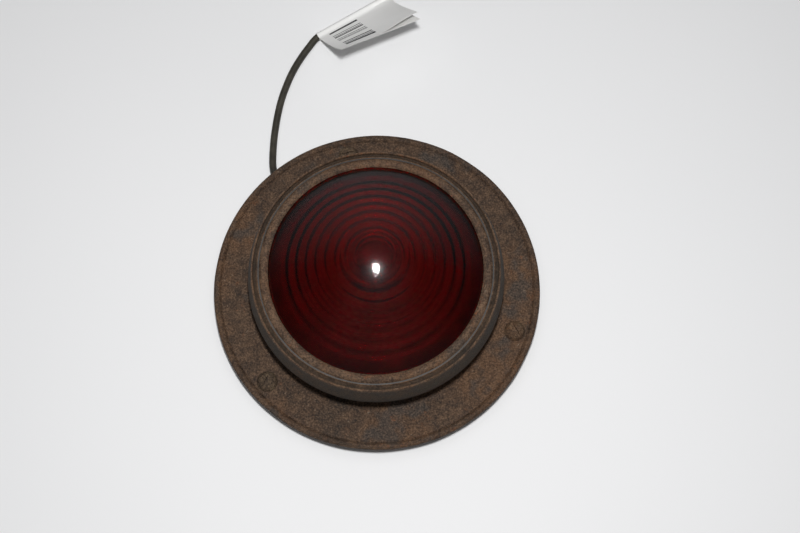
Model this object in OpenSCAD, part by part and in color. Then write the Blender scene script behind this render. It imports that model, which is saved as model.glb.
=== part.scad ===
// Round signal lamp on a flanged base: steel base pan, lift-off cover with a crimped
// ring and a red dome lens, bayonet bulb on a sprung contact, and one lead with its coil.
// The origin is on the lamp's axis, at the plane that the base stands on. +Z is up.

/* [Lens and ring] */
// Diameter of the glass where the ring holds it
lens_d = 105; // [96:1:128]
// Height of the dome above the ring
lens_rise = 25; // [20:0.5:32]
// Slope of the glass dome near its edge, in degrees
dome_slope = 40; // [36:1:46]
// Wall of the glass
glass_t = 3.4; // [2.4:0.1:4.2]
// Distance between the prism rings inside the glass
prism_pitch = 4.7; // [3.5:0.1:8]
// Depth of the prism rings
prism_depth = 1.5; // [0.8:0.1:2.2]
// Width of the ring's top face, from the glass to its outer edge
ring_w = 7.5; // [7:0.1:9.5]
// Height of the ring, from its hanging edge to its top
ring_h = 14.4; // [11:0.1:18]
// How far the ring's hanging edge stands outside its top edge
ring_flare = 2.8; // [1:0.1:4]

/* [Cover] */
// Width of the flange, from the ring's top edge to the rim
flange_w = 22.25; // [21:0.25:32]
// Thickness of the cover's sheet steel
cover_sheet = 1.4; // [1:0.1:1.8]
// Radius of the rolled bead along the flange's edge
bead_r = 1.65; // [1.3:0.05:2.1]
// Height of the neck, from the flange to the lens seat
neck_h = 29; // [24:1:36]
// Distance from the screws to the flange's edge
screw_edge = 9.75; // [9.5:0.25:11]
// Diameter of the screw heads
head_d = 10.4; // [8:0.2:11.4]
// Height of the screw heads
head_h = 3.8; // [2.8:0.1:4.6]
// Diameter of the screw shanks
screw_d = 4.1; // [3.4:0.1:4.8]

/* [Base] */
// Height of the base pan
pan_h = 9; // [8.6:0.2:14]
// Thickness of the base pan's sheet steel
pan_sheet = 1.4; // [1:0.1:1.8]
// Thickness of the gasket between the base and the cover
gasket_t = 1.6; // [1:0.1:2.4]
// Distance from the fixing holes to the base pan's wall
hole_inset = 17.5; // [15:0.5:20]
// Diameter of the fixing holes in the base pan
hole_d = 5.6; // [4:0.1:7]

/* [Bulb and socket] */
// Diameter of the bulb's glass
bulb_d = 26.6; // [20:0.2:32]
// Length of the bulb over all
bulb_len = 44; // [40:0.5:47]
// Diameter of the bulb's brass cap
cap_d = 15.44; // [12.4:0.02:18.6]
// Travel of the bulb when it is pushed in
push_travel = 1.5; // [1:0.1:2]
// Diameter of the bulb's locking pins
pin_d = 2; // [1.6:0.1:2.4]

/* [Lead] */
// Diameter of the lead
lead_d = 3.8; // [3:0.1:4.4]

/* [Hidden] */
$fn = 96;

// Clearances: between pieces that slide or turn, and between pieces that only pass each other
fit = 0.05;
gap = 0.3;

// Radii of the cover, from the glass outwards
lens_r = lens_d / 2;
ring_top_r = lens_r + ring_w;
ring_low_r = ring_top_r + ring_flare;
neck_r = ring_top_r - 2;
neck_in = neck_r - cover_sheet;
seat_in = lens_r - 2;
foot_r = neck_r - 1;
rim_r = ring_top_r + flange_w;
bead_c = rim_r - bead_r;
flat_r = bead_c - 1.2;
root_r = 2.5;

// Radii of the base, from the cover's flange inwards
pan_r = rim_r - 2.75;
pan_in = pan_r - pan_sheet;
ledge_in = pan_in - 1.4;
screw_r = rim_r - screw_edge;
hole_r = pan_r - hole_inset;
post_r = screw_d / 2 + 1.95;
reflector_r = neck_in - 3.6;
reflector_t = 0.8;

// Heights, from the ground upwards
cover_z = pan_h + gasket_t;
flange_z = cover_z + cover_sheet;
bead_z = flange_z - 0.9;
seat_z = flange_z + neck_h;
seat_gasket_t = 1.2;
foot_t = 2.4;
cushion_t = 0.8;
foot_z = seat_z + seat_gasket_t;
dome_z = foot_z + foot_t;
ring_under = dome_z + cushion_t;
ring_z = ring_under + 1.2;
apex_z = ring_z + lens_rise;

// The dome's section is a hyperbola through the glass's edge and the top: it is round at the top
// and nearly straight at the edge. The inside lies one glass thickness under the outside.
dome_rise = apex_z - dome_z;
dome_m = tan(dome_slope);
dome_a = (dome_m * dome_m * lens_r * lens_r - dome_rise * dome_rise) / (2 * dome_rise);
function dome_root(r) = sqrt(dome_a * dome_a + dome_m * dome_m * r * r);
function dome_at(r) = apex_z + dome_a - dome_root(r);
function inner_at(r) = let (s = dome_m * dome_m * r / dome_root(r)) dome_at(r) - glass_t * sqrt(1 + s * s);
prism_start = 8;
prism_n = floor((lens_r - 6 - prism_start) / prism_pitch);

// Socket, from the bracket's plate
bracket_r = 21.2;
bracket_foot = 31;
bracket_t = 1.2;
plate_z = 9.6;
shell_t = 0.8;
shell_in = cap_d / 2 + 0.08;
shell_r = shell_in + shell_t;
shell_low = 5.6;
shell_top = 31;
collar_w = 2;
collar_t = 0.8;
insulator_t = 1.6;
insulator_z = shell_low + shell_t;
plunger_z = 14.6;
plunger_t = 1.6;
button_h = 1;
contact_z = plunger_z + plunger_t + button_h;
cap_z = contact_z + 1;
cap_len = 17;
cap_wall = 0.6;
cap_in = cap_d / 2 - cap_wall;
pin_z = contact_z + 7.6;
pin_out = shell_r + 0.4;
pin_az = 20;
turn = 20;
glass_wall = 0.8;
glass_r = bulb_d / 2;
bulb_top = contact_z + bulb_len;
filament_z = bulb_top - glass_r + 1.6;

stem_top = cap_z + cap_len + 5;
neck_glass = cap_in - 0.15;
support_reach = 5;

// The spring stands on the fixed insulator and carries the plunger
spring_low = insulator_z + insulator_t;
spring_high = plunger_z;
spring_r = 5.4;
wire_r = 0.4;
spring_turns = 4;
spring_step = 16;
spring_path = [for (i = [0:spring_turns * spring_step]) let (a = 360 * i / spring_step,
    t = i / (spring_turns * spring_step)) [spring_r * cos(a), spring_r * sin(a),
    spring_low + wire_r + t * (spring_high - spring_low - 2 * wire_r)]];

// Fasteners: first azimuth of each set of three
screw_az = 101.5;
hole_az = 40;
bracket_rivet_az = 70;
bracket_rivet_r = 26;
bracket_rivet_d = 3.2;
reflector_rivet_az = 10;
reflector_rivet_r = 15.5;
reflector_rivet_d = 2.4;

// Lead: its points from the grommet's mouth to where it reaches the coil
lead_r = lead_d / 2;
route = [[-51.9, 61.8, 4.2], [-53, 63.2, 4.15], [-53.9, 65.2, 4], [-54.4, 67.5, 3.8],
    [-54.7, 70.3, 3.5], [-54.8, 74, 3.1], [-54.7, 79, 2.6], [-54.4, 85, 2.2], [-53.7, 91.5, 2],
    [-52.6, 99, 2], [-50.9, 107, 2], [-48.4, 115, 2], [-45.2, 123, 2], [-41.2, 130.5, 2],
    [-36.8, 137.2, 2.1], [-32, 143.2, 2.3], [-24.4, 147.8, 2.3], [-16.8, 152.5, 2.3],
    [-9.2, 157.1, 2.3], [-1.6, 161.8, 2.3], [6, 166.4, 2.3], [13.2, 170.8, 2.4],
    [20.5, 175.2, 2.5]];
lead_az = atan2(route[0].y, route[0].x);
lead_z = route[0].z;
run_az = 31.4;

// Grommet: its outer lip stands on the pan's wall, where the lead's route starts
grommet_mouth = pan_r + 1.2;
grommet_r = lead_r + 0.8;
grommet_lip = lead_r + 1.3;

// Clip: it holds the lead to the floor, beside its own rivet
clip_r = 50;
clip_side = 3;
clip_foot = clip_side + lead_r + 4;
clip_t = 0.9;
clip_w = 7;
clip_in = lead_r + 0.2;

// The lead runs from the grommet's mouth over the base pan's floor to the socket's terminal
terminal_tab = 3.2;
inner_z = pan_sheet + lead_r + 0.1;
inner_steps = [[grommet_mouth, 0, lead_z], [pan_in - 1, 0, lead_z], [pan_in - 5, 0, lead_z - 0.1],
    [pan_in - 10, 0.8, inner_z + 0.2], [pan_in - 16, 2, inner_z], [clip_r + 4, clip_side, inner_z],
    [clip_r, clip_side, inner_z], [clip_r - 4, clip_side, inner_z], [40, 1.6, inner_z],
    [35, 0.4, inner_z], [31, 0, inner_z], [25, 0, inner_z], [19, 0, inner_z], [12, 0, inner_z],
    [terminal_tab, 0, inner_z]];
inner_route = [for (s = inner_steps) [s[0] * cos(lead_az) - s[1] * sin(lead_az),
    s[0] * sin(lead_az) + s[1] * cos(lead_az), s[2]]];

// Coil: two turns lie on the ground and the third lies on them
coil_c = [8.8, 194.3];
coil_mid = 20.5;
coil_base = 0.6;
coil_start = run_az - 90;
turn_in = coil_mid - lead_r;
turn_out = coil_mid + lead_r;
top_lift = lead_r * sqrt(3);
tie_w = 4;
tie_t = 0.6;
tie_az = coil_start + 180;

// Tail: its points, as the distance along the run's direction, the height, and how far it lies
// outside the middle of the coil's turns
tail_steps = [[0, 6.3, 3.8], [5, 6.3, 3.75], [9, 6.1, 3.6], [13, 5.6, 3.3], [17, 4.9, 2.9],
    [22, 4, 2.2], [28, 3.2, 1.3], [34, 2.8, 0.5], [40, 2.7, 0.1], [46, 2.7, 0], [52, 2.7, 0]];
tail = [for (s = tail_steps) [
    coil_c.x + (coil_mid + s[2]) * cos(coil_start) + s[0] * cos(run_az),
    coil_c.y + (coil_mid + s[2]) * sin(coil_start) + s[0] * sin(run_az), s[1]]];
barrel_r = 2.6;
barrel_len = 8;
barrel_grip = 6;
tongue_r = 4.8;
tongue_t = 1;
tongue_hole = 2.7;

// Tag: a label folded round the lead, with its leaf standing up at a slant
tag_len = 45;
tag_leaf = 43;
tag_t = 0.6;
tag_paper = 0.25;
tag_tilt = 44;

// A function that turns a list of points into a tube of round section
function along(p, i) = let (a = p[max(i - 1, 0)], b = p[min(i + 1, len(p) - 1)]) (b - a) / norm(b - a);
function ring_at(p, i, r, n) = let (d = along(p, i), s = cross(d, [0, 0, 1]) / norm(cross(d, [0, 0, 1])),
    u = cross(s, d)) [for (k = [0:n - 1]) p[i] + r * (cos((k + 0.5) * 360 / n) * s
    + sin((k + 0.5) * 360 / n) * u)];

module tube(p, r, n = 8) {
    m = len(p);
    rings = [for (i = [0:m - 1]) each ring_at(p, i, r, n)];
    sides = [for (i = [0:m - 2], k = [0:n - 1])
        [i * n + k, i * n + (k + 1) % n, (i + 1) * n + (k + 1) % n, (i + 1) * n + k]];
    start = [[for (k = [n - 1:-1:0]) k]];
    end = [[for (k = [0:n - 1]) (m - 1) * n + k]];
    polyhedron(points = rings, faces = concat(sides, start, end));
}

// Three copies of a piece round the axis
module three(first) {
    for (i = [0:2]) rotate([0, 0, first + 120 * i]) children();
}

// A rectangle in the turned section, from radius a to b and from height low to high
module band(a, b, low, high) {
    translate([a, low]) square([b - a, high - low]);
}

// Points of an arc from a to b whose middle stands s to the right of the straight line, or to
// its left where s is negative
function arc(a, b, s, n = 10) = let (d = b - a, l = norm(d), right = [d.y, -d.x] / l,
    rho = (l * l / 4 + s * s) / (2 * s), c = (a + b) / 2 - right * (rho - s),
    from = atan2(a.y - c.y, a.x - c.x), to = atan2(b.y - c.y, b.x - c.x),
    sweep = s > 0 ? (to - from + 720) % 360 : -((from - to + 720) % 360))
    [for (k = [0:n]) c + abs(rho) * [cos(from + sweep * k / n), sin(from + sweep * k / n)]];

// ---- Base ----

module base_pan() {
    color("#3a332e") difference() {
        rotate_extrude() {
            band(0, pan_r, 0, pan_sheet);
            band(pan_in, pan_r, 0, pan_h);
            band(ledge_in, pan_r, pan_h - pan_sheet, pan_h);
        }
        three(hole_az) translate([hole_r, 0, -1]) cylinder(d = hole_d, h = pan_sheet + 2);
        three(bracket_rivet_az) translate([bracket_rivet_r, 0, -1])
            cylinder(d = bracket_rivet_d, h = pan_sheet + 2);
        rotate([0, 0, lead_az]) translate([clip_r, clip_foot, -1])
            cylinder(d = reflector_rivet_d, h = pan_sheet + 2);
        rotate([0, 0, lead_az]) translate([pan_in - 3, 0, lead_z]) rotate([0, 90, 0])
            cylinder(r = grommet_r, h = pan_sheet + 6);
    }
}

module cover_posts() {
    color("#6b6259") three(screw_az) translate([screw_r, 0, pan_sheet]) difference() {
        cylinder(r = post_r, h = cover_z - pan_sheet);
        translate([0, 0, -1]) cylinder(r = screw_d / 2 + fit, h = cover_z);
    }
}

module base_gasket() {
    color("#1d1c1b") rotate_extrude() band(ledge_in + 0.2, flat_r - 0.8, pan_h, cover_z);
}

// ---- Lead inlet ----

module cord_grommet() {
    color("#151515") difference() {
        rotate([0, 0, lead_az]) translate([pan_in - 1.2, 0, lead_z]) rotate([0, 90, 0])
            cylinder(r = grommet_lip, h = grommet_mouth - pan_in + 1.2);
        difference() {
            cylinder(r = pan_r, h = pan_h);
            translate([0, 0, pan_sheet]) cylinder(r = pan_in, h = pan_h);
            rotate([0, 0, lead_az]) translate([pan_in - 3, 0, lead_z]) rotate([0, 90, 0])
                cylinder(r = grommet_r, h = pan_sheet + 6);
        }
        rotate([0, 0, lead_az]) translate([pan_in - 3, 0, lead_z]) rotate([0, 90, 0])
            cylinder(r = lead_r, h = 10);
    }
}

module inner_lead() {
    color("#1b1a19") tube(inner_route, lead_r);
}

module lead_clip() {
    color("#8a8378") rotate([0, 0, lead_az]) difference() {
        union() {
            translate([clip_r - clip_w / 2, clip_side, inner_z]) rotate([0, 90, 0])
                cylinder(r = clip_in + clip_t, h = clip_w);
            translate([clip_r - clip_w / 2, clip_side, pan_sheet]) cube([clip_w, lead_r + 7, clip_t]);
        }
        translate([clip_r - clip_w, clip_side, inner_z]) rotate([0, 90, 0])
            cylinder(r = clip_in, h = 2 * clip_w);
        translate([clip_r - clip_w, clip_side - 2 * clip_w, -clip_w]) cube([2 * clip_w, 4 * clip_w,
            clip_w + pan_sheet]);
        translate([clip_r, clip_foot, 0]) cylinder(d = reflector_rivet_d, h = 2 * inner_z);
    }
}

module lead_clip_rivet() {
    color("#8a8378") rotate([0, 0, lead_az]) translate([clip_r, clip_foot, 0]) {
        cylinder(d = reflector_rivet_d, h = pan_sheet + clip_t + 0.2);
        translate([0, 0, pan_sheet + clip_t]) cylinder(d = 4.4, h = 0.9);
    }
}

// ---- Socket ----

module socket_bracket() {
    color("#7d756a") difference() {
        rotate_extrude() {
            band(bracket_r - bracket_t, bracket_foot, pan_sheet, pan_sheet + bracket_t);
            band(bracket_r - bracket_t, bracket_r, pan_sheet, plate_z);
            band(shell_r + fit, bracket_r, plate_z - bracket_t, plate_z);
        }
        three(bracket_rivet_az) translate([bracket_rivet_r, 0, 0])
            cylinder(d = bracket_rivet_d, h = plate_z);
        three(reflector_rivet_az) translate([reflector_rivet_r, 0, 0])
            cylinder(d = reflector_rivet_d, h = 2 * plate_z);
        rotate([0, 0, lead_az]) translate([bracket_r - 3, -lead_r - gap, 0])
            cube([bracket_foot, 2 * (lead_r + gap), inner_z + lead_r + gap]);
    }
}

module bracket_rivets() {
    color("#8a8378") three(bracket_rivet_az) translate([bracket_rivet_r, 0, 0]) {
        cylinder(d = bracket_rivet_d, h = pan_sheet + bracket_t + 0.2);
        translate([0, 0, pan_sheet + bracket_t]) intersection() {
            translate([0, 0, -2.2]) sphere(r = 3.6);
            cylinder(r = 4, h = 2);
        }
    }
}

module pin_slot() {
    // The slot comes down from the mouth and turns to where the pin rests
    low = pin_z - push_travel - pin_d / 2 - 0.15;
    high = pin_z + pin_d / 2 + 0.15;
    half = asin((pin_d / 2 + 0.15) / shell_r);
    translate([0, 0, low]) rotate([0, 0, pin_az - half])
        rotate_extrude(angle = turn + 2 * half) band(shell_in - 1, shell_r + 1, 0, high - low);
    translate([0, 0, low]) rotate([0, 0, pin_az + turn - half])
        rotate_extrude(angle = 2 * half) band(shell_in - 1, shell_r + 1, 0, shell_top);
}

module socket_shell() {
    color("#a88642") difference() {
        rotate_extrude() {
            band(shell_in - 1.4, shell_r, shell_low, shell_low + shell_t);
            band(shell_in, shell_r, shell_low, shell_top);
            band(shell_in, shell_r + collar_w, plate_z, plate_z + collar_t);
        }
        pin_slot();
        rotate([0, 0, 180]) pin_slot();
    }
}

module socket_insulator() {
    color("#7a4a2a") translate([0, 0, insulator_z]) difference() {
        cylinder(r = shell_in - fit, h = insulator_t);
        translate([0, 0, -1]) cylinder(r = 1.5, h = insulator_t + 2);
    }
}

module socket_terminal() {
    color("#b08c48") {
        translate([0, 0, insulator_z - 0.8]) cylinder(r = 3, h = 0.8);
        translate([0, 0, insulator_z - 0.8]) cylinder(r = 1.5, h = insulator_t + 0.8);
        translate([0, 0, insulator_z + insulator_t]) cylinder(r = 2.6, h = 0.6);
        rotate([0, 0, lead_az]) translate([terminal_tab - 0.8, -1.6, inner_z - 1.4])
            cube([0.8, 3.2, insulator_z - 0.2 - inner_z + 1.4]);
    }
}

module contact_spring() {
    color("#9c9a94") tube(spring_path, wire_r, 6);
}

module contact_plunger() {
    color("#6b3f24") difference() {
        translate([0, 0, plunger_z]) cylinder(r = shell_in - fit, h = plunger_t);
        translate([0, 0, plunger_z - 1]) cylinder(r = 2, h = plunger_t + 2);
    }
    color("#b08c48") {
        translate([0, 0, plunger_z - 1.6]) cylinder(r = 2, h = plunger_t + 1.6);
        translate([0, 0, plunger_z + plunger_t]) cylinder(r = 3, h = button_h);
    }
}

// ---- Bulb ----

module bulb_cap() {
    color("#b8954c") difference() {
        rotate_extrude() {
            band(cap_in, cap_d / 2, cap_z, cap_z + cap_len);
            band(cap_in - 1.6, cap_d / 2, cap_z, cap_z + cap_wall);
        }
        rotate([0, 0, pin_az]) translate([-pin_out, 0, pin_z]) rotate([0, 90, 0])
            cylinder(d = pin_d, h = 2 * pin_out);
    }
}

module bulb_pins() {
    color("#b8954c") for (side = [0, 180]) rotate([0, 0, pin_az + side])
        translate([cap_in, 0, pin_z]) rotate([0, 90, 0])
            cylinder(d = pin_d, h = pin_out - cap_in);
}

module bulb_insulator() {
    color("#1a1a1e") rotate_extrude() {
        band(1.6, cap_in, cap_z + cap_wall, cap_z + 2.2);
        band(1.6, cap_in - 1.6, cap_z, cap_z + 1);
    }
}

module bulb_contact() {
    color("#a9a9a9") {
        translate([0, 0, contact_z]) cylinder(r = 2.6, h = cap_z - contact_z);
        translate([0, 0, contact_z]) cylinder(r = 1.6, h = cap_z - contact_z + 2.2);
    }
}

module bulb_stem() {
    color("#c8cfd0") rotate_extrude() polygon([[0, cap_z + 2.2], [cap_in - 1.2, cap_z + 2.2],
        [cap_in - 1.2, cap_z + 3.2], [2.6, cap_z + 8], [2.2, stem_top], [0, stem_top]]);
}

module bulb_supports() {
    color("#8d8d88") for (side = [-1, 1]) tube([[side, 0, stem_top], [side * 1.4, 0, stem_top + 4],
        [side * support_reach, 0, filament_z - 0.7]], 0.35, 6);
}

module bulb_filament() {
    color("#5c5c60") translate([-support_reach - 0.5, 0, filament_z]) rotate([0, 90, 0])
        cylinder(r = 0.45, h = 2 * support_reach + 1);
}

module bulb_outline(inset) {
    r = neck_glass - inset;
    ball = glass_r - inset;
    ball_z = bulb_top - glass_r;
    band(0, r, cap_z + 3.4, ball_z - sqrt(ball * ball - r * r) + 0.5);
    intersection() {
        translate([0, ball_z]) circle(ball);
        band(0, 2 * ball, 0, 2 * bulb_top);
    }
    polygon([[0, cap_z + cap_len + 1], [r, cap_z + cap_len + 1], [0.72 * ball, ball_z - 0.694 * ball],
        [0, ball_z]]);
}

module bulb_glass() {
    color("#d6dedf", 0.5) rotate_extrude() difference() {
        bulb_outline(0);
        difference() {
            bulb_outline(glass_wall);
            band(0, bulb_d, 0, cap_z + 3.2);
        }
        band(0, 2.9, 0, cap_z + 12);
    }
}

// ---- Reflector ----

module reflector() {
    low = plate_z;
    cone_in = 18.5;
    color("#c9c6bd") difference() {
        rotate_extrude() {
            polygon([[shell_r + collar_w + 0.4, low], [cone_in, low], [reflector_r - 12, low + 4.2],
                [reflector_r, low + 10.4], [reflector_r, low + 10.4 + reflector_t],
                [reflector_r - 12, low + 4.2 + reflector_t], [cone_in, low + reflector_t],
                [shell_r + collar_w + 0.4, low + reflector_t]]);
        }
        three(reflector_rivet_az) translate([reflector_rivet_r, 0, 0])
            cylinder(d = reflector_rivet_d, h = 3 * plate_z);
    }
}

module reflector_rivets() {
    top = plate_z + reflector_t;
    low = plate_z - bracket_t;
    color("#8a8378") three(reflector_rivet_az) translate([reflector_rivet_r, 0, 0]) {
        translate([0, 0, low - 0.6]) cylinder(d = reflector_rivet_d, h = top - low + 0.8);
        translate([0, 0, low - 0.7]) cylinder(d = 4, h = 0.7);
        translate([0, 0, top]) cylinder(d = 4.2, h = 0.8);
    }
}

// ---- Cover ----

module cover_flange() {
    // The sheet with its rolled edge, and the solder fillet where the neck stands in it
    color("#473a31") difference() {
        rotate_extrude() {
            band(neck_r + fit, flat_r, cover_z, flange_z);
            translate([bead_c, bead_z]) circle(bead_r);
            difference() {
                band(neck_r + fit, neck_r + root_r, flange_z - 0.2, flange_z + root_r);
                translate([neck_r + root_r, flange_z + root_r]) circle(root_r);
            }
        }
        three(screw_az) translate([screw_r, 0, 0]) cylinder(r = screw_d / 2 + 0.5, h = 2 * cover_z);
    }
}

module cover_neck() {
    color("#473a31") rotate_extrude() {
        band(neck_in, neck_r, cover_z, seat_z);
        band(seat_in, neck_r, seat_z - cover_sheet, seat_z);
    }
}

module seat_gasket() {
    color("#1d1c1b") rotate_extrude() band(seat_in + 0.3, foot_r, seat_z, foot_z);
}

module lens() {
    // Its section runs over the outside, round the foot, and back over the rings of prisms
    edge_slope = dome_m * dome_m * lens_r / dome_root(lens_r);
    foot_in = lens_r - (foot_z - inner_at(lens_r)) / edge_slope;
    bare = (foot_in + prism_start + prism_n * prism_pitch) / 2;
    color("#5a0a0c") rotate_extrude() polygon(concat(
        [for (i = [0:36]) let (r = lens_r * i / 36) [r, dome_at(r)]],
        [[foot_r, dome_z], [foot_r, foot_z], [foot_in, foot_z], [bare, inner_at(bare)]],
        [for (i = [prism_n - 1:-1:0]) let (a = prism_start + i * prism_pitch, b = a + prism_pitch - 0.4)
            each [[b, inner_at(b)], [a, inner_at(a) - prism_depth], [a, inner_at(a)]]],
        [for (r = [prism_start * 2 / 3, prism_start / 3, 0]) [r, inner_at(r)]]));
}

module lens_cushion() {
    color("#1d1c1b") rotate_extrude() band(lens_r + 1, foot_r, dome_z, ring_under);
}

module retaining_ring() {
    lip = [lens_r + 0.4, ring_under + 0.5];
    bead = [ring_top_r - 1.6, ring_z - 0.85];
    groove = [ring_top_r - 0.6, ring_z - 0.85];
    low_z = ring_z - ring_h;
    step_z = seat_z - 3;
    top = [ring_top_r, ring_z - 1];
    low = [ring_low_r, low_z + 0.8];
    color("#4a3d33") rotate_extrude() polygon(concat([[lip.x, ring_under],
        [neck_r - 0.6, ring_under], [neck_r - 0.6, seat_z + 0.6], [neck_r + fit, seat_z + 0.4],
        [neck_r + fit, step_z], [ring_top_r, step_z], [ring_low_r - 1.4, step_z - 1],
        [ring_low_r - 1.2, low_z], [ring_low_r - 0.4, low_z]],
        arc(low, top, 0.8), arc(groove, bead, -0.55, 6), arc(bead + [-0.1, 0.05], lip, 0.75)));
}

module cover_screws() {
    dome = (head_d * head_d / 4 + head_h * head_h) / (2 * head_h);
    color("#3b3632") three(screw_az) translate([screw_r, 0, flange_z]) {
        difference() {
            intersection() {
                translate([0, 0, head_h - dome]) sphere(r = dome);
                cylinder(d = head_d, h = head_h + 1);
            }
            rotate([0, 0, 35]) translate([-head_d, -0.7, head_h - 1.8]) cube([2 * head_d, 1.4, 3]);
        }
        translate([0, 0, pan_sheet + 2 - flange_z])
            cylinder(d = screw_d, h = flange_z - pan_sheet - 2 + 0.5);
    }
}

// ---- Free lead ----

module cord_tube() {
    color("#22201e") tube(route, lead_r);
}

module coil_section() {
    low = coil_base;
    mid = low + 2 * lead_r;
    polygon([[turn_in - lead_r, low], [turn_out + lead_r, low], [turn_out + lead_r, mid],
        [turn_out, mid + top_lift], [turn_in, mid + top_lift], [turn_in - lead_r, mid]]);
}

module cord_coil() {
    color("#22201e") translate([coil_c.x, coil_c.y, 0]) rotate_extrude() coil_section();
}

module coil_tie() {
    tall = 2 * lead_r + top_lift + coil_base + tie_t;
    color("#101010") difference() {
        translate([coil_c.x, coil_c.y, 0]) rotate([0, 0, tie_az])
            translate([turn_in - lead_r - tie_t, -tie_w / 2, 0])
            cube([4 * lead_r + 2 * tie_t, tie_w, tall]);
        cord_coil();
    }
}

module cord_tail() {
    color("#22201e") tube(tail, lead_r);
}

module lead_terminal() {
    end = tail[len(tail) - 1];
    color("#a8a49a") translate([end.x, end.y, 0]) rotate([0, 0, run_az]) {
        difference() {
            translate([-barrel_grip, 0, end.z]) rotate([0, 90, 0]) cylinder(r = barrel_r, h = barrel_len);
            translate([-barrel_grip - 1, 0, end.z]) rotate([0, 90, 0])
                cylinder(r = lead_r, h = barrel_grip + 1);
        }
        translate([0, 0, end.z - barrel_r]) difference() {
            union() {
                translate([1, -barrel_r, 0]) cube([tongue_r, 2 * barrel_r, tongue_t]);
                translate([1 + 1.6 * tongue_r, 0, 0]) cylinder(r = tongue_r, h = tongue_t);
            }
            translate([1 + 1.6 * tongue_r, 0, -1]) cylinder(r = tongue_hole, h = tongue_t + 2);
        }
    }
}

module paper_tag() {
    // The fold wraps the lead where it runs straight, and both leaves are stuck together
    start = route[15];
    outer = lead_r + tag_paper;
    color("#f2f0ea") translate(start) rotate([0, 0, run_az]) difference() {
        union() {
            rotate([0, 90, 0]) cylinder(r = outer, h = tag_len);
            rotate([-tag_tilt, 0, 0]) translate([0, -tag_leaf, -tag_t / 2])
                cube([tag_len, tag_leaf, tag_t]);
        }
        translate([-1, 0, 0]) rotate([0, 90, 0]) cylinder(r = lead_r, h = tag_len + 2);
    }
}

base_pan();
cover_posts();
base_gasket();
socket_bracket();
bracket_rivets();
socket_shell();
socket_insulator();
socket_terminal();
contact_spring();
contact_plunger();
reflector();
reflector_rivets();
cord_grommet();
inner_lead();
lead_clip();
lead_clip_rivet();
bulb_cap();
bulb_pins();
bulb_insulator();
bulb_contact();
bulb_stem();
bulb_supports();
bulb_filament();
bulb_glass();
cover_flange();
cover_neck();
seat_gasket();
lens();
lens_cushion();
retaining_ring();
cover_screws();
cord_tube();
cord_coil();
coil_tie();
cord_tail();
lead_terminal();
paper_tag();
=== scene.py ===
import math

import bpy
from mathutils import Matrix, Vector


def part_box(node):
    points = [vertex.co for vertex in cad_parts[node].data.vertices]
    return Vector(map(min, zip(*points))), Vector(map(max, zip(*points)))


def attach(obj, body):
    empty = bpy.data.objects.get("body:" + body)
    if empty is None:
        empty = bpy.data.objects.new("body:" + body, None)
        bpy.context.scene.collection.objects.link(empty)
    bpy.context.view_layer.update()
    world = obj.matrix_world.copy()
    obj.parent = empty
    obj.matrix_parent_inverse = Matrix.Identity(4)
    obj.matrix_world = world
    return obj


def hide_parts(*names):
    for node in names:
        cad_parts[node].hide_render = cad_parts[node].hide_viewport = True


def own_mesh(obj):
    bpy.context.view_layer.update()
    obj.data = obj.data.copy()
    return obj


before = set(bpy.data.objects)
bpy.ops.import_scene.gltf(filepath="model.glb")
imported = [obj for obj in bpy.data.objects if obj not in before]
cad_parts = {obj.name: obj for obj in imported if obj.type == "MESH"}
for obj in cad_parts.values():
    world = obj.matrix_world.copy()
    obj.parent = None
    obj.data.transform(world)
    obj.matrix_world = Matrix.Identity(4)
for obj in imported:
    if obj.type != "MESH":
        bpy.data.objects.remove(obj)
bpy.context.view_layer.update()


# ---- Camera ----
# It is held by hand over the table, a little in front of the lamp, and looks down at it.
# The lens is a long one, and the frame stands a third of a degree out of true.
camera = bpy.data.objects.new("camera", bpy.data.cameras.new("camera"))
bpy.context.collection.objects.link(camera)
camera.data.lens = 63
camera.data.sensor_width = 36
camera.location = (0.01168, -0.19069, 0.69167)
forward_tilt = math.radians(16.52)
roll = math.radians(-0.333)
aim = Matrix.Rotation(forward_tilt, 3, "X") @ Matrix.Rotation(roll, 3, "Z")
camera.rotation_euler = aim.to_euler()
bpy.context.scene.camera = camera
bpy.context.scene.view_settings.view_transform = "Standard"


# ---- Lead ----
# One rubber-covered wire comes out of the grommet in the base and lies on the table. Its end
# that is put away makes three turns: two on the table and the third on them, held by a tie.
lead_r = 0.0019
route = [(-0.0519, 0.0618, 0.0042), (-0.053, 0.0632, 0.00415), (-0.0539, 0.0652, 0.004),
         (-0.0544, 0.0675, 0.0038), (-0.0547, 0.0703, 0.0035), (-0.0548, 0.074, 0.0031),
         (-0.0547, 0.079, 0.0026), (-0.0544, 0.085, 0.0022), (-0.0537, 0.0915, 0.002),
         (-0.0526, 0.099, 0.002), (-0.0509, 0.107, 0.002), (-0.0484, 0.115, 0.002),
         (-0.0452, 0.123, 0.002), (-0.0412, 0.1305, 0.002), (-0.0368, 0.1372, 0.0021),
         (-0.032, 0.1432, 0.0023), (-0.0244, 0.1478, 0.0023), (-0.0168, 0.1525, 0.0023),
         (-0.0092, 0.1571, 0.0023), (-0.0016, 0.1618, 0.0023), (0.006, 0.1664, 0.0023),
         (0.0132, 0.1708, 0.0024), (0.0205, 0.1752, 0.0025)]
run_angle = math.radians(31.4)
run_way = Vector((math.cos(run_angle), math.sin(run_angle), 0))
coil_centre = Vector((0.0088, 0.1943, 0))
coil_radius = 0.0205
coil_floor = 0.0025
coil_start = run_angle - math.pi / 2
coil_out = Vector((math.cos(coil_start), math.sin(coil_start), 0))
lane = 2 * lead_r / math.sqrt(3)
top_strand = coil_floor + 1.5 * lane
steps_a_turn = 24


def ease(share):
    """A share from 0 to 1 that starts and stops gently."""
    share = min(max(share, 0), 1)
    return share * share * (3 - 2 * share)


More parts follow.
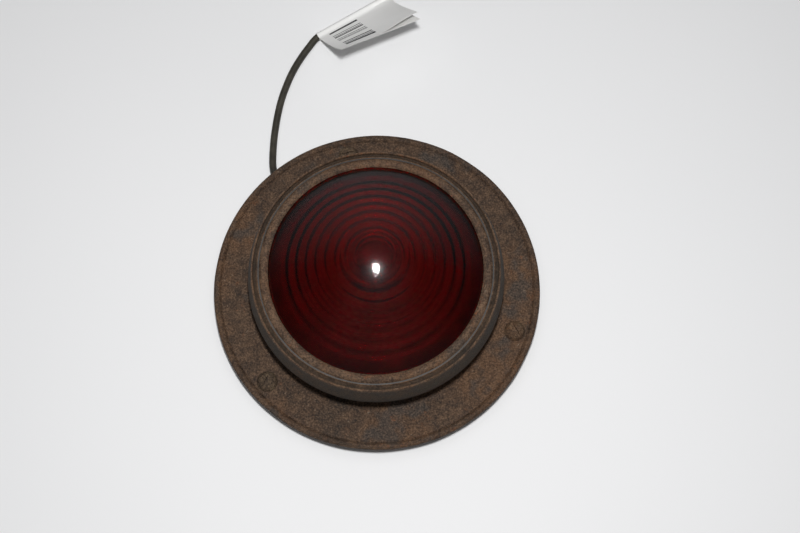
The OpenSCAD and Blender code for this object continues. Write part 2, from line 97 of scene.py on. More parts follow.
def coil_point(step):
    """The turns lie as a triangle. In the last third of each turn they change places."""
    turn, part = divmod(step / steps_a_turn, 1)
    change = 3 * part - 2
    twist = ease(change) * math.radians(120)
    middle = coil_floor + lane * math.sin(math.radians(30) + twist)
    if turn < 2:
        at = math.radians((-30, 210)[int(turn)]) - twist
        reach, height = coil_radius + lane * math.cos(at), middle + lane * math.sin(at)
    else:
        reach = coil_radius + 2 * lead_r * ease(change)
        height = top_strand + 0.0005 * ease(change / 0.3)
    way = coil_start + 2 * math.pi * part
    return coil_centre + Vector((reach * math.cos(way), reach * math.sin(way), height))


# The tail's points: distance along the run, height, and how far it lies outside the coil's middle
tail_steps = [(0, 0.0063, 0.0038), (0.005, 0.0063, 0.00375), (0.009, 0.0061, 0.0036),
              (0.013, 0.0056, 0.0033), (0.017, 0.0049, 0.0029), (0.022, 0.004, 0.0022),
              (0.028, 0.0032, 0.0013), (0.034, 0.0028, 0.0005), (0.04, 0.0027, 0.0001),
              (0.046, 0.0027, 0), (0.052, 0.0027, 0)]
turns = [coil_point(step) for step in range(1, 3 * steps_a_turn)]
tail = [coil_centre + coil_out * (coil_radius + side) + run_way * along + Vector((0, 0, height))
        for along, height, side in tail_steps]


def cable(name, points, radius):
    """A round wire along a smooth curve through the points, closed at both ends."""
    curve = bpy.data.curves.new(name, "CURVE")
    curve.dimensions = "3D"
    spline = curve.splines.new("BEZIER")
    spline.bezier_points.add(len(points) - 1)
    for knot, place in zip(spline.bezier_points, points):
        knot.co = place
        knot.handle_left_type = knot.handle_right_type = "AUTO"
    curve.resolution_u = 6
    curve.bevel_depth = radius
    curve.bevel_resolution = 5
    curve.use_fill_caps = True
    piece = bpy.data.objects.new(name, curve)
    bpy.context.collection.objects.link(piece)
    return piece


def node(tree, kind, sockets={}, **settings):
    """Adds a shader node. A socket's value is a number or colour, or another node's socket."""
    made = tree.nodes.new("ShaderNode" + kind)
    for name, value in settings.items():
        setattr(made, name, value)
    for name, value in sockets.items():
        if isinstance(value, bpy.types.NodeSocket):
            tree.links.new(value, made.inputs[name])
        else:
            made.inputs[name].default_value = value
    return made.outputs


def noise(tree, place, scale, detail=4.0, roughness=0.6):
    return node(tree, "TexNoise", {"Vector": place, "Scale": scale, "Detail": detail,
                                   "Roughness": roughness})["Fac"]


def between(tree, value, low, high):
    """0 below low, 1 above high, and an even rise from one to the other."""
    return node(tree, "MapRange", {"Value": value, "From Min": low, "From Max": high})["Result"]


def times(tree, first, second):
    return node(tree, "Math", {0: first, 1: second}, operation="MULTIPLY")["Value"]


def mixed(tree, share, first, second):
    """The first colour where the share is 0, and the second where it is 1."""
    made = tree.nodes.new("ShaderNodeMix")
    made.data_type = "RGBA"
    for place, value in ((0, share), (6, first), (7, second)):
        if isinstance(value, bpy.types.NodeSocket):
            tree.links.new(value, made.inputs[place])
        else:
            made.inputs[place].default_value = value if place == 0 else (*value, 1)
    return made.outputs[2]


def new_material(name, **values):
    """A material, its tree, its shader and the place on the piece that its pattern reads."""
    made = bpy.data.materials.new(name)
    made.use_nodes = True
    tree = made.node_tree
    shader = tree.nodes["Principled BSDF"]
    for socket, value in values.items():
        shader.inputs[socket.replace("_", " ")].default_value = value
    return made, tree, shader, node(tree, "TexCoord")["Object"]


def bumped(tree, shader, height, distance, strength=1.0):
    out = node(tree, "Bump", {"Height": height, "Distance": distance, "Strength": strength})
    tree.links.new(out["Normal"], shader.inputs["Normal"])


def paint(tree, shader, socket, value):
    tree.links.new(value, shader.inputs[socket])


rubber, tree, shader, place = new_material("lead_rubber", Specular_IOR_Level=0.4)
dust = noise(tree, place, 140, 5)
paint(tree, shader, "Base Color", mixed(tree, between(tree, dust, 0.35, 0.75),
                                        (0.022, 0.02, 0.015), (0.055, 0.049, 0.035)))
paint(tree, shader, "Roughness", between(tree, dust, -0.6, 1.5))
bumped(tree, shader, noise(tree, place, 1500, 3), 0.00012)

lead = cable("lead", route + turns + tail, lead_r)
lead.data.materials.append(rubber)
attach(lead, "root")
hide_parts("cord_tube", "cord_coil", "cord_tail")


# ---- Base pan ----
# A shallow pan pressed from sheet steel. Its floor is the back of the lamp and has three holes
# for the fixing bolts, its wall has the hole for the lead, and a ledge carries the cover.
sides = 180


def only(piece):
    """Makes this piece the active one, and the only one selected."""
    bpy.ops.object.select_all(action="DESELECT")
    bpy.context.view_layer.objects.active = piece
    piece.select_set(True)


def start_piece(add, name, **values):
    """Adds one primitive with nothing else selected, and opens it to be shaped."""
    bpy.ops.object.select_all(action="DESELECT")
    add(**values)
    piece = bpy.context.object
    piece.name = name
    bpy.ops.object.transform_apply(location=True, rotation=True, scale=True)
    bpy.ops.object.mode_set(mode="EDIT")
    return piece


def end_piece(piece, smooth=35):
    """Closes the shaping: doubles are merged, faces point outwards and soft edges are smooth."""
    bpy.ops.mesh.select_all(action="SELECT")
    bpy.ops.mesh.remove_doubles(threshold=0.000005)
    bpy.ops.mesh.normals_make_consistent(inside=False)
    bpy.ops.object.mode_set(mode="OBJECT")
    bpy.ops.object.shade_smooth_by_angle(angle=math.radians(smooth))
    return piece


def turned(name, section, count=sides, smooth=35, closed=True):
    """A ring of edges is drawn out from point to point of the section, as on a lathe. A closed
    section is joined back to its first ring, and an open one begins or ends on the axis."""
    radius, height = section[0]
    piece = start_piece(bpy.ops.mesh.primitive_circle_add, name, vertices=count, radius=radius,
                        location=(0, 0, height))
    for new_radius, new_height in section[1:] + ([section[0]] if closed else []):
        rise = (0, 0, new_height - height)
        bpy.ops.mesh.extrude_edges_move(TRANSFORM_OT_translate={"value": rise})
        share = new_radius / radius
        bpy.ops.transform.resize(value=(share, share, 1), center_override=(0, 0, new_height))
        radius, height = new_radius, new_height
    return end_piece(piece, smooth)


def bend(centre, radius, start, end, count):
    """Points of an arc in a section, from one angle to the other, in degrees."""
    ways = [math.radians(start + (end - start) * i / count) for i in range(count + 1)]
    return [(centre[0] + radius * math.cos(a), centre[1] + radius * math.sin(a)) for a in ways]


def apply_modifier(piece, kind, **values):
    only(piece)
    modifier = piece.modifiers.new(kind.lower(), kind)
    for name, value in values.items():
        setattr(modifier, name, value)
    bpy.ops.object.modifier_apply(modifier=modifier.name)


def dented(piece, size, depth):
    """Old sheet metal isn't true: its surface wanders a little."""
    wander = bpy.data.textures.new(piece.name + "_wander", "CLOUDS")
    wander.noise_scale = size
    apply_modifier(piece, "DISPLACE", texture=wander, texture_coords="LOCAL", strength=depth,
                   mid_level=0.5)


def drilled(piece, places, radius, way=(0, 0, 1), depth=0.02):
    """Round holes with a cutter that is taken away again."""
    for place in places:
        bpy.ops.object.select_all(action="DESELECT")
        turn = Vector((0, 0, 1)).rotation_difference(Vector(way)).to_euler()
        bpy.ops.mesh.primitive_cylinder_add(vertices=40, radius=radius, depth=depth,
                                            location=place, rotation=turn)
        cutter = bpy.context.object
        apply_modifier(piece, "BOOLEAN", object=cutter, operation="DIFFERENCE", solver="EXACT")
        bpy.data.objects.remove(cutter)


def rusty(name, dark, brown, tan, blue=0.0, orange=0.5, shine=0.0, skirt=None):
    """Old paint on steel that has rusted through: brown all over, with fine grain, blue-grey
    patches of the old paint, and orange spots. Below the skirt's height it is darker."""
    made, tree, shader, place = new_material(name, Specular_IOR_Level=0.2)
    patch = noise(tree, place, 45, 3)
    cloud = noise(tree, place, 190, 7, 0.75)
    grain = noise(tree, place, 1100, 4, 0.75)
    colour = mixed(tree, between(tree, cloud, 0.38, 0.52), dark, brown)
    colour = mixed(tree, between(tree, cloud, 0.52, 0.68), colour, tan)
    warm = times(tree, between(tree, noise(tree, place, 24, 3), 0.48, 0.62), 0.5)
    colour = mixed(tree, warm, colour, (0.15, 0.075, 0.036))
    sooty = times(tree, between(tree, noise(tree, place, 31, 4), 0.44, 0.32), 0.5)
    colour = mixed(tree, sooty, colour, (0.035, 0.028, 0.022))
    old_paint = times(tree, between(tree, patch, 0.57, 0.66), blue)
    colour = mixed(tree, old_paint, colour, (0.05, 0.046, 0.042))
    spots = between(tree, noise(tree, place, 230, 8, 0.75), 0.58, 0.7)
    zone = between(tree, noise(tree, place, 38, 2), 0.42, 0.62)
    spots = times(tree, times(tree, spots, zone), orange)
    colour = mixed(tree, spots, colour, (0.3, 0.095, 0.028))
    colour = mixed(tree, between(tree, grain, 0.56, 0.3), colour, (0.014, 0.01, 0.008))
    light_grain = times(tree, between(tree, grain, 0.52, 0.72), 0.6)
    colour = mixed(tree, light_grain, colour, (0.2, 0.13, 0.085))
    pale_bits = times(tree, between(tree, noise(tree, place, 620, 3), 0.66, 0.74), 0.5)
    colour = mixed(tree, pale_bits, colour, (0.28, 0.21, 0.15))
    if skirt:
        level = node(tree, "SeparateXYZ", {"Vector": place})["Z"]
        below = between(tree, level, skirt, skirt - 0.002)
        colour = mixed(tree, times(tree, below, 0.7), colour, (0.02, 0.018, 0.014))
    paint(tree, shader, "Base Color", colour)
    paint(tree, shader, "Roughness", between(tree, cloud, -0.9 - shine, 1.1))
    height = node(tree, "Math", {0: grain, 1: cloud}, operation="ADD")["Value"]
    bumped(tree, shader, height, 0.0004, 0.8)
    return made


steel = rusty("rusty_steel", (0.044, 0.028, 0.019), (0.088, 0.053, 0.033),
              (0.15, 0.092, 0.056), 0.7)
pan_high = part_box("base_pan")[1]
pan_r = pan_high.x
pan_h = pan_high.z
sheet_t = 0.0014
corner_r = 0.0012
edge_r = 0.0006
ledge_w = 0.0014
on_axis = 0.00001
pan_in = pan_r - sheet_t
ledge_in = pan_in - ledge_w
pan = turned("base_pan_pressed", bend((pan_r - corner_r, corner_r), corner_r, -90, 0, 4)
             + bend((pan_r - edge_r, pan_h - edge_r), edge_r, 0, 90, 3)
             + [(ledge_in, pan_h), (ledge_in, pan_h - sheet_t), (pan_in - 0.0002, pan_h - sheet_t)]
             + bend((pan_in - corner_r, sheet_t + corner_r), corner_r, 0, -90, 4)
             + [(0.03, sheet_t), (on_axis, sheet_t), (on_axis, 0), (0.03, 0)])
fixing_r = 0.062
fixing_hole_r = 0.0028
drilled(pan, [(fixing_r * math.cos(math.radians(a)), fixing_r * math.sin(math.radians(a)), 0)
              for a in (40, 160, 280)], fixing_hole_r)
lead_way = Vector((route[0][0], route[0][1], 0)).normalized()
lead_hole_r = 0.0027
drilled(pan, [lead_way * pan_in + Vector((0, 0, route[0][2]))], lead_hole_r, lead_way, 0.01)
pan.data.materials.append(steel)
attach(pan, "root")
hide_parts("base_pan")


# ---- Cover ----
# A flange of sheet steel with a rolled edge, and a neck that stands in it and is soldered round
# its root. The neck carries the glass. Rust has lifted the paint all over.
rim_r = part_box("cover_flange")[1].x
bead_r = 0.00165
bead_c = (rim_r - bead_r, 0.0111)
flange_z = 0.012
flange_under = flange_z - sheet_t
neck_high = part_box("cover_neck")[1]
neck_r = neck_high.x
root_r = 0.0025
flat_w = 0.0165
flat = [(neck_r + root_r + flat_w * i / 6, flange_z) for i in range(1, 6)]
flange = turned("cover_flange_pressed",
                bend((neck_r + root_r, flange_z + root_r), root_r, 180, 270, 6) + flat
                + [(0.0778, flange_z), (0.0784, flange_z - 0.0001), (0.0788, flange_z - 0.0005)]
                + bend(bead_c, bead_r, 150, -140, 18)
                + [(0.0788, flange_under), (neck_r + 0.0001, flange_under)])
dented(flange, 0.02, 0.00035)
screw_r = 0.0725
screw_hole_r = 0.0026
screw_ways = [math.radians(a) for a in (101.5, 221.5, 341.5)]
screw_places = [Vector((screw_r * math.cos(a), screw_r * math.sin(a), flange_z))
                for a in screw_ways]
drilled(flange, screw_places, screw_hole_r)
flange.data.materials.append(steel)
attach(flange, "cover")
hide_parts("cover_flange")

seat_in = 0.0505
seat_z = neck_high.z
neck_in = neck_r - sheet_t
neck = turned("cover_neck_rolled",
              [(neck_r, flange_under + 0.0006), (neck_r, 0.02), (neck_r - 0.0003, 0.0212),
               (neck_r - 0.0003, 0.0222), (neck_r, 0.0234), (neck_r, 0.03)]
              + bend((neck_r - 0.001, seat_z - 0.001), 0.001, 0, 90, 4)
              + [(seat_in, seat_z), (seat_in, seat_z - sheet_t), (neck_in, seat_z - sheet_t),
                 (neck_in, flange_under)])
dented(neck, 0.015, 0.00015)
neck.data.materials.append(steel)
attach(neck, "cover")
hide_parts("cover_neck")


# ---- Retaining ring ----
# A spun steel ring that is crimped over the edge of the glass. It has a round bead against the
# glass, a groove, a thin ridge, and a skirt that hangs down round the neck.
ring_low, ring_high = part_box("retaining_ring")
ring_z = ring_high.z
ring_top_r = 0.06
crimp_r = 0.0026
ring_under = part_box("lens_cushion")[1].z
step_z = 0.038
ring_steel = rusty("ring_steel", (0.055, 0.034, 0.023), (0.12, 0.072, 0.044), (0.2, 0.12, 0.072),
                   blue=0.5, orange=0.9, shine=0.0, skirt=ring_z - 0.0012)
ring = turned("retaining_ring_spun",
              bend((0.0542, ring_z - crimp_r), crimp_r, 150, 35, 12)
              + [(0.0572, ring_z - 0.002), (0.0583, ring_z - 0.0028), (0.0588, ring_z - 0.0031),
                 (0.0592, ring_z - 0.0028)]
              + bend((0.0598, ring_z - 0.0014), 0.0005, 165, 0, 6)
              + [(0.0607, ring_z - 0.0032), (0.0613, ring_z - 0.0055), (0.0618, ring_z - 0.0078),
                 (0.0624, ring_z - 0.01)]
              + bend((0.0621, ring_low.z + 0.0008), 0.0007, 0, -180, 8)
              + [(0.0612, step_z - 0.001), (ring_top_r - 0.0008, step_z), (neck_r + 0.0001, step_z),
                 (neck_r + 0.0001, seat_z + 0.0004), (neck_r - 0.0006, seat_z + 0.0006),
                 (neck_r - 0.0006, ring_under), (0.0532, ring_under - 0.0003)])
dented(ring, 0.012, 0.0002)
ring.data.materials.append(ring_steel)
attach(ring, "cover")
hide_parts("retaining_ring")


# ---- Lens ----
# A dome of pressed red glass. The outside is smooth, and rings of prisms are pressed into the
# inside. A flat foot at its edge stands on the seat under the ring.
lens_low, lens_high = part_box("lens")
apex_z = lens_high.z
foot_r = lens_high.x
foot_low = lens_low.z
foot_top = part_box("lens_cushion")[0].z
lens_r = 0.0525
glass_t = 0.0034
flank = math.tan(math.radians(40))   # the slope that the dome comes close to at its edge
dome_rise = apex_z - foot_top
dome_a = (flank ** 2 * lens_r ** 2 - dome_rise ** 2) / (2 * dome_rise)
prism_rings = 8
first_prism = 0.0075
prism_pitch = 0.0047
prism_depth = 0.001


def outer_height(radius):
    """The dome is round at the top and nearly straight at its edge."""
    return apex_z + dome_a - math.hypot(dome_a, flank * radius)


def inner_height(radius):
    slope = flank ** 2 * radius / math.hypot(dome_a, flank * radius)
    return outer_height(radius) - glass_t * math.hypot(1, slope)


outer = [(lens_r * step / 40, outer_height(lens_r * step / 40)) for step in range(1, 41)]
prisms = []
for ring_number in range(prism_rings):
    for step in range(10):
        radius = first_prism + (ring_number + step / 10) * prism_pitch
        swell = 0.5 - 0.5 * math.cos(2 * math.pi * step / 10)
        prisms.append((radius, inner_height(radius) - prism_depth * swell))
lens = turned("lens_pressed", [(on_axis, apex_z)] + outer
              + [(foot_r, foot_top), (foot_r, foot_low), (0.0501, foot_low)]
              + [(r, inner_height(r)) for r in (0.0485, 0.0465)] + prisms[::-1]
              + [(0.005, inner_height(0.005)), (0.0025, inner_height(0.0025)),
                 (on_axis, inner_height(0))], 192, 25, closed=False)
red, tree, shader, place = new_material("red_glass", IOR=1.5, Roughness=0.05, Coat_Weight=0.35,
                                        Coat_Roughness=0.24, Transmission_Weight=1.0)
paint(tree, shader, "Base Color", mixed(tree, noise(tree, place, 60, 2), (0.46, 0.0035, 0.003),
                                        (0.36, 0.0025, 0.0025)))
drawn_out = node(tree, "Mapping", {"Vector": place, "Scale": (0.06, 1, 1)})["Vector"]
bumped(tree, shader, noise(tree, drawn_out, 2600, 3, 0.7), 0.00004, 0.8)
lens.data.materials.append(red)
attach(lens, "cover")
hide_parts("lens")


# ---- Cover screws ----
# Three round-headed screws hold the cover on the base. Their heads have rusted with the flange,
# and the slots point in different directions, as the screwdriver left them.
head_r = 0.0052
head_h = 0.0038
shank_r = 0.00205
point_z = 0.0034
slot_w = 0.0014
slot_h = 0.0032
head_dome = (head_r ** 2 + head_h ** 2) / (2 * head_h)
head_edge = math.degrees(math.acos(head_r / head_dome))
head_top = flange_z + head_h
screw = turned("cover_screw_1", [(on_axis, head_top)]
               + bend((0, head_top - head_dome), head_dome, 87, head_edge, 10)
               + [(head_r + 0.0001, flange_z), (shank_r, flange_z - 0.0002), (shank_r, 0.0045),
                  (0.0012, point_z), (on_axis, point_z)], 40, closed=False)
bpy.ops.object.select_all(action="DESELECT")
bpy.ops.mesh.primitive_cube_add(size=1, location=(0, 0, head_top), scale=(0.03, slot_w, slot_h))
slot_cutter = bpy.context.object
apply_modifier(screw, "BOOLEAN", object=slot_cutter, operation="DIFFERENCE", solver="EXACT")
bpy.data.objects.remove(slot_cutter)
bpy.ops.object.shade_smooth_by_angle(angle=math.radians(35))
screw_steel = rusty("screw_steel", (0.04, 0.028, 0.02), (0.1, 0.068, 0.043), (0.22, 0.165, 0.1),
                    blue=0.3, orange=0.5, shine=0.6)
screw.data.materials.append(screw_steel)
screws = [screw]
for number in (2, 3):
    piece = screw.copy()
    piece.data = screw.data.copy()
    piece.name = f"cover_screw_{number}"
    bpy.context.collection.objects.link(piece)
    screws.append(piece)
for piece, place, slot_turn in zip(screws, screw_places, (15, 62, 118)):
    piece.data.transform(Matrix.Translation((place.x, place.y, 0))
                         @ Matrix.Rotation(math.radians(slot_turn), 4, "Z"))
    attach(piece, "screws")
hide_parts("cover_screws")


# ---- Reflector ----
# A plain dish of dull aluminium round the socket, turned up towards the glass.
plate_z = 0.0096
dish_t = 0.0008
dish_under = [(0.011, plate_z), (0.0185, plate_z), (0.041, plate_z + 0.0042),
              (0.053, plate_z + 0.0104)]
dish = turned("reflector_dish", dish_under + [(r, z + dish_t) for r, z in dish_under[::-1]], 96)
dented(dish, 0.02, 0.0002)
dull, tree, shader, place = new_material("dull_aluminium", Metallic=0.7)
stain = noise(tree, place, 70, 5)
paint(tree, shader, "Base Color", mixed(tree, between(tree, stain, 0.35, 0.7),
                                        (0.2, 0.19, 0.17), (0.42, 0.41, 0.38)))
paint(tree, shader, "Roughness", between(tree, stain, -0.4, 1.3))
bumped(tree, shader, noise(tree, place, 900, 3), 0.0001, 0.4)
dish.data.materials.append(dull)
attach(dish, "root")
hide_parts("reflector")


# ---- Lead inside the base ----
# The same wire goes on from the grommet over the floor, past its clip, to the socket's terminal.
# Its points: distance from the lamp's middle, how far to the side, and height
inner_steps = [(0.0807, 0, 0.0042), (0.0771, 0, 0.0042), (0.0731, 0, 0.0041),
               (0.0681, 0.0008, 0.0036), (0.0621, 0.002, 0.0034), (0.054, 0.003, 0.0034),
               (0.05, 0.003, 0.0034), (0.046, 0.003, 0.0034), (0.04, 0.0016, 0.0034),
               (0.035, 0.0004, 0.0034), (0.031, 0, 0.0034), (0.025, 0, 0.0034),
               (0.019, 0, 0.0034), (0.012, 0, 0.0034), (0.0032, 0, 0.0034)]
lead_side = Vector((-lead_way.y, lead_way.x, 0))
inner = cable("lead_inside", [lead_way * along + lead_side * side + Vector((0, 0, height))
                              for along, side, height in inner_steps], lead_r)
inner.data.materials.append(rubber)
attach(inner, "root")
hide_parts("inner_lead")


# ---- Contact spring ----
# A coil of thin steel wire between the socket's fixed insulator and the plunger. It is pressed
# together as the bulb goes down.
spring_r = 0.0054
wire_r = 0.0004
spring_low = 0.008
spring_high = 0.0146
spring_rise = spring_high - spring_low - 2 * wire_r
spring_turns = 6
steps_a_coil = 16
spring_points = []
for step in range(spring_turns * steps_a_coil + 1):
    turn = step / steps_a_coil
    way = 2 * math.pi * turn
    spring_points.append((spring_r * math.cos(way), spring_r * math.sin(way),
                          spring_low + wire_r + turn / spring_turns * spring_rise))
spring = cable("contact_spring_wire", spring_points, wire_r)
spring.data.resolution_u = 3
spring.data.bevel_resolution = 3
only(spring)
bpy.ops.object.convert(target="MESH")
bpy.ops.object.shade_smooth()
wire_steel, tree, shader, place = new_material("wire_steel", Metallic=0.9)
tarnish = noise(tree, place, 400, 4)
paint(tree, shader, "Base Color", mixed(tree, between(tree, tarnish, 0.4, 0.7),
                                        (0.34, 0.33, 0.31), (0.16, 0.11, 0.08)))
paint(tree, shader, "Roughness", between(tree, tarnish, -0.3, 1.6))
spring.data.materials.append(wire_steel)
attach(spring, "root")
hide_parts("contact_spring")
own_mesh(spring)


# ---- Bulb ----
# A round clear bulb with a bayonet cap. Its wall is thin, and a coiled filament hangs between
# two wires that stand in the stem.
bulb_low, bulb_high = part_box("bulb_glass")
ball_r = bulb_high.x
ball_z = bulb_high.z - ball_r
wall = 0.0008
bulb_neck = 0.00697
neck_end = 0.0362
outside = ([(on_axis, bulb_high.z)] + bend((0, ball_z), ball_r, 86, -42, 24)
           + [(bulb_neck, neck_end), (bulb_neck, bulb_low.z)])
inside = ([(bulb_neck - wall, bulb_low.z), (bulb_neck - wall, neck_end)]
          + bend((0, ball_z), ball_r - wall, -42, 86, 24) + [(on_axis, bulb_high.z - wall)])
bulb = turned("bulb_envelope", outside + inside, 64, closed=False)
clear, tree, shader, place = new_material("clear_glass", IOR=1.5, Transmission_Weight=1.0)
paint(tree, shader, "Roughness", between(tree, noise(tree, place, 120, 4), 0.45, 4.0))
paint(tree, shader, "Base Color", mixed(tree, noise(tree, place, 90, 2),
                                        (0.93, 0.95, 0.95), (0.85, 0.87, 0.86)))
bulb.data.materials.append(clear)
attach(bulb, "bulb")
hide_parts("bulb_glass")

filament_low, filament_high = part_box("bulb_filament")
filament_z = (filament_low.z + filament_high.z) / 2
filament_r = 0.00034
filament_wire_r = 0.0001
filament_span = filament_high.x - filament_low.x
filament_steps = 8 * 18
filament_points = []
for step in range(filament_steps + 1):
    way = math.pi * step / 4
    filament_points.append((filament_low.x + filament_span * step / filament_steps,
                            filament_r * math.cos(way), filament_z + filament_r * math.sin(way)))
filament = cable("bulb_filament_coil", filament_points, filament_wire_r)
filament.data.resolution_u = 2
filament.data.bevel_resolution = 2
filament.data.materials.append(wire_steel)
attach(filament, "bulb")
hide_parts("bulb_filament")


# ---- Coil tie ----
# A narrow black band is pulled tight round the three strands of the coil. Its small head, on
# the outer side, is left out.
band_t = 0.0005
band_w = 0.0038
band_way = coil_start + math.pi
strands = [(coil_radius + lead_r, coil_floor), (coil_radius, top_strand),
           (coil_radius - lead_r, coil_floor)]
loop = []
for (reach, height), first in zip(strands, (-90, 30, 150)):
    loop += bend((reach, height), lead_r + band_t / 2 + 0.00005, first, first + 120, 6)
band_line = bpy.data.curves.new("coil_band", "CURVE")
band_line.dimensions = "2D"
band_line.fill_mode = "NONE"
spline = band_line.splines.new("POLY")
spline.points.add(len(loop) - 1)
for knot, (reach, height) in zip(spline.points, loop):
    knot.co = (reach, height, 0, 1)
spline.use_cyclic_u = True
band_line.extrude = band_w / 2
band_line.bevel_depth = band_t / 2
band_line.bevel_resolution = 2
band = bpy.data.objects.new("coil_band", band_line)
bpy.context.collection.objects.link(band)
band.matrix_world = (Matrix.Translation(coil_centre) @ Matrix.Rotation(band_way, 4, "Z")
                     @ Matrix.Rotation(math.pi / 2, 4, "X"))
only(band)
bpy.ops.object.convert(target="MESH")
bpy.ops.object.transform_apply(location=True, rotation=True, scale=True)
bpy.ops.object.shade_smooth_by_angle(angle=math.radians(40))
nylon, tree, shader, place = new_material("black_nylon", Specular_IOR_Level=0.4)
ribs = node(tree, "TexNoise", {"Vector": place, "Scale": 700})["Fac"]
paint(tree, shader, "Base Color", mixed(tree, ribs, (0.012, 0.012, 0.012), (0.03, 0.029, 0.028)))
paint(tree, shader, "Roughness", between(tree, ribs, -0.4, 1.4))
bumped(tree, shader, ribs, 0.0001, 0.5)
band.data.materials.append(nylon)
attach(band, "root")
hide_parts("coil_tie")


# ---- Paper tag ----
# A white label folded round the lead, its two leaves laid together. It stands up at a slant, its
# near corner higher, and the leaves part at the far end. The upper one has a panel of bars.
tag_l = 0.045
leaf_w = 0.043
paper_t = 0.00012
wrap_r = lead_r + 0.0002
tag_start = Vector(route[15])
tag_across = Vector((run_way.y, -run_way.x, 0))
wrap_steps = 10
leaf_steps = 20
tag_rows = 2 * leaf_steps + wrap_steps


def leaf_point(share, out, side):
    """Out is the distance from the lead's middle, and side is 1 on the upper leaf, -1 under it."""
    tilt = math.radians(51 - 9 * share)
    bow = math.radians(16)
    angle = tilt - bow / 2 + bow * (out / leaf_w) / 2
    gape = ease((share - 0.45) / 0.55) * ease(out / leaf_w) * 0.0038 if side > 0 else 0
    lift = side * 0.0002 + gape
    reach = out * math.cos(angle) - lift * math.sin(angle)
    height = out * math.sin(angle) + lift * math.cos(angle)
    return tag_start + run_way * (tag_l * share) + tag_across * reach + Vector((0, 0, height))


tag = start_piece(bpy.ops.mesh.primitive_grid_add, "lot_tag", x_subdivisions=24,
                  y_subdivisions=tag_rows, size=1, location=(0, 0, 0), calc_uvs=True)
bpy.ops.object.mode_set(mode="OBJECT")
for corner in tag.data.vertices:
    share, row = corner.co.x + 0.5, (corner.co.y + 0.5) * tag_rows
    if row <= leaf_steps:
        corner.co = leaf_point(share, leaf_w + (wrap_r - leaf_w) * row / leaf_steps, -1)
    elif row >= tag_rows - leaf_steps:
        climbed = row - tag_rows + leaf_steps
        corner.co = leaf_point(share, wrap_r + (leaf_w - wrap_r) * climbed / leaf_steps, 1)
    else:
        fold_start = math.radians(43 - 9 * share)
        turn = fold_start - math.radians(344) * (row - leaf_steps) / wrap_steps
        reach, height = wrap_r * math.cos(turn), wrap_r * math.sin(turn)
        corner.co = (tag_start + run_way * (tag_l * share) + tag_across * reach
                     + Vector((0, 0, height)))
apply_modifier(tag, "SOLIDIFY", thickness=paper_t, offset=0)
bpy.ops.object.shade_smooth_by_angle(angle=math.radians(50))
paper, tree, shader, place = new_material("label_paper", Roughness=0.75, Specular_IOR_Level=0.2)
flat_place = node(tree, "TexCoord")["UV"]
spread = node(tree, "SeparateXYZ", {"Vector": flat_place})
along, across = spread["X"], spread["Y"]


def inside_of(value, low, high, soft=0.003):
    """1 between low and high on the label, and 0 outside them."""
    return times(tree, between(tree, value, low, low + soft),
                 between(tree, value, high, high - soft))


lines = node(tree, "Math", {0: times(tree, across, 150.0)}, operation="FLOOR")["Value"]
lines = node(tree, "TexWhiteNoise", {"W": lines}, noise_dimensions="1D")["Value"]
bars = between(tree, lines, 0.44, 0.46)
panel = times(tree, inside_of(along, 0.12, 0.5), inside_of(across, 0.62, 0.93))
off_gap = node(tree, "Math", {0: 1.0, 1: inside_of(across, 0.79, 0.815)}, operation="SUBTRACT")
panel = times(tree, times(tree, panel, off_gap["Value"]), bars)
sheet_tone = mixed(tree, noise(tree, place, 60, 3), (0.86, 0.855, 0.835), (0.92, 0.915, 0.9))
paint(tree, shader, "Base Color", mixed(tree, panel, sheet_tone, (0.035, 0.034, 0.036)))
bumped(tree, shader, noise(tree, place, 900, 3), 0.00003, 0.5)
tag.data.materials.append(paper)
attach(tag, "root")
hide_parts("paper_tag")


# ---- Parts that keep their plain shape ----
# The rubber rings, the steel and brass of the socket, the insulators and the fittings take only
# their own surface: dull rubber, zinc-plated steel, tarnished brass, red fibre and solder.
def worn(name, dark, light, scale, metal=0.0, smooth=-0.5, rough=1.3, **values):
    """A used surface: cloudy between its two colours, unevenly dull, and finely rough."""
    made, tree, shader, place = new_material(name, Metallic=metal, **values)
    wear = noise(tree, place, scale, 5, 0.65)
    paint(tree, shader, "Base Color", mixed(tree, between(tree, wear, 0.35, 0.68), dark, light))
    paint(tree, shader, "Roughness", between(tree, wear, smooth, rough))
    bumped(tree, shader, noise(tree, place, scale * 5, 3), 0.0001, 0.5)
    return made


def finished(material, *names):
    """Gives plain parts their surface."""
    for name in names:
        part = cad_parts[name].data
        part.materials.clear()
        part.materials.append(material)


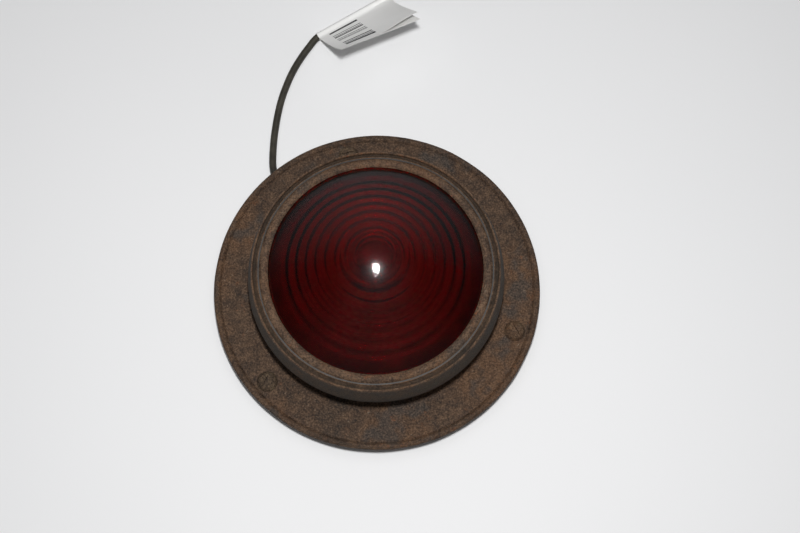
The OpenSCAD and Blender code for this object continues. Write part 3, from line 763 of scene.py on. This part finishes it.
finished(worn("black_rubber", (0.016, 0.015, 0.014), (0.045, 0.042, 0.038), 260),
         "base_gasket", "seat_gasket", "lens_cushion", "cord_grommet")
finished(worn("zinc_steel", (0.12, 0.1, 0.08), (0.33, 0.32, 0.3), 180, 0.7),
         "cover_posts", "socket_bracket", "bracket_rivets", "lead_clip", "lead_clip_rivet",
         "reflector_rivets")
finished(worn("aged_brass", (0.2, 0.12, 0.045), (0.46, 0.33, 0.14), 220, 0.9),
         "socket_shell", "bulb_cap", "bulb_pins", "socket_terminal")
finished(worn("red_fibre", (0.1, 0.035, 0.018), (0.2, 0.085, 0.045), 500),
         "socket_insulator", "contact_plunger")
finished(worn("black_glass", (0.008, 0.008, 0.01), (0.02, 0.02, 0.024), 200, 0, -0.1, 4.0),
         "bulb_insulator")
finished(worn("tinned_metal", (0.26, 0.25, 0.23), (0.5, 0.49, 0.46), 300, 0.85),
         "bulb_contact", "lead_terminal")
finished(worn("support_wire", (0.2, 0.19, 0.18), (0.42, 0.41, 0.39), 500, 0.9),
         "bulb_supports")
finished(worn("stem_glass", (0.7, 0.74, 0.73), (0.85, 0.88, 0.87), 150, 0, 0.3, 4.0, IOR=1.5,
              Transmission_Weight=0.9), "bulb_stem")


# ---- Table and light ----
# The lamp lies on a pale table. A small flash above the camera gives the sharp shadow and the
# spark on the glass, and the room's own light is dim and even.
bpy.ops.mesh.primitive_plane_add(size=6, location=(0, 0, 0))
table = bpy.context.object
table.name = "table"
pale, tree, shader, place = new_material("pale_table", Roughness=0.6, Specular_IOR_Level=0.25)
paint(tree, shader, "Base Color", mixed(tree, noise(tree, place, 3, 2),
                                        (0.83, 0.835, 0.84), (0.87, 0.87, 0.875)))
table.data.materials.append(pale)
room = bpy.data.worlds.new("room")
room.use_nodes = True
tree = room.node_tree
way = node(tree, "SeparateXYZ", {"Vector": node(tree, "TexCoord")["Generated"]})
bright = mixed(tree, between(tree, way["Y"], 0.2, 0.95), (0.025, 0.025, 0.026), (0.2, 0.2, 0.205))
bright = mixed(tree, between(tree, way["Y"], -0.3, -0.9), bright, (0.09, 0.09, 0.09))
bright = mixed(tree, between(tree, way["Z"], 0.6, 1), bright, (0.14, 0.14, 0.145))
tree.links.new(bright, tree.nodes["Background"].inputs["Color"])
bpy.context.scene.world = room


def area_light(name, watts, size, place):
    light = bpy.data.objects.new(name, bpy.data.lights.new(name, "AREA"))
    bpy.context.collection.objects.link(light)
    light.data.energy = watts
    light.data.size = size
    light.location = place
    return light


ceiling = area_light("ceiling", 3.6, 1.2, (0, 0.1, 1.5))
ceiling.visible_glossy = False
flash = area_light("flash", 4.05, 0.035, (0.018, -0.1, 0.72))
flash.data.shape = "RECTANGLE"
flash.data.size_y = 0.055
flash_way = Vector((0, 0.03, 0)) - flash.location
flash.rotation_euler = flash_way.to_track_quat("-Z", "Y").to_euler()
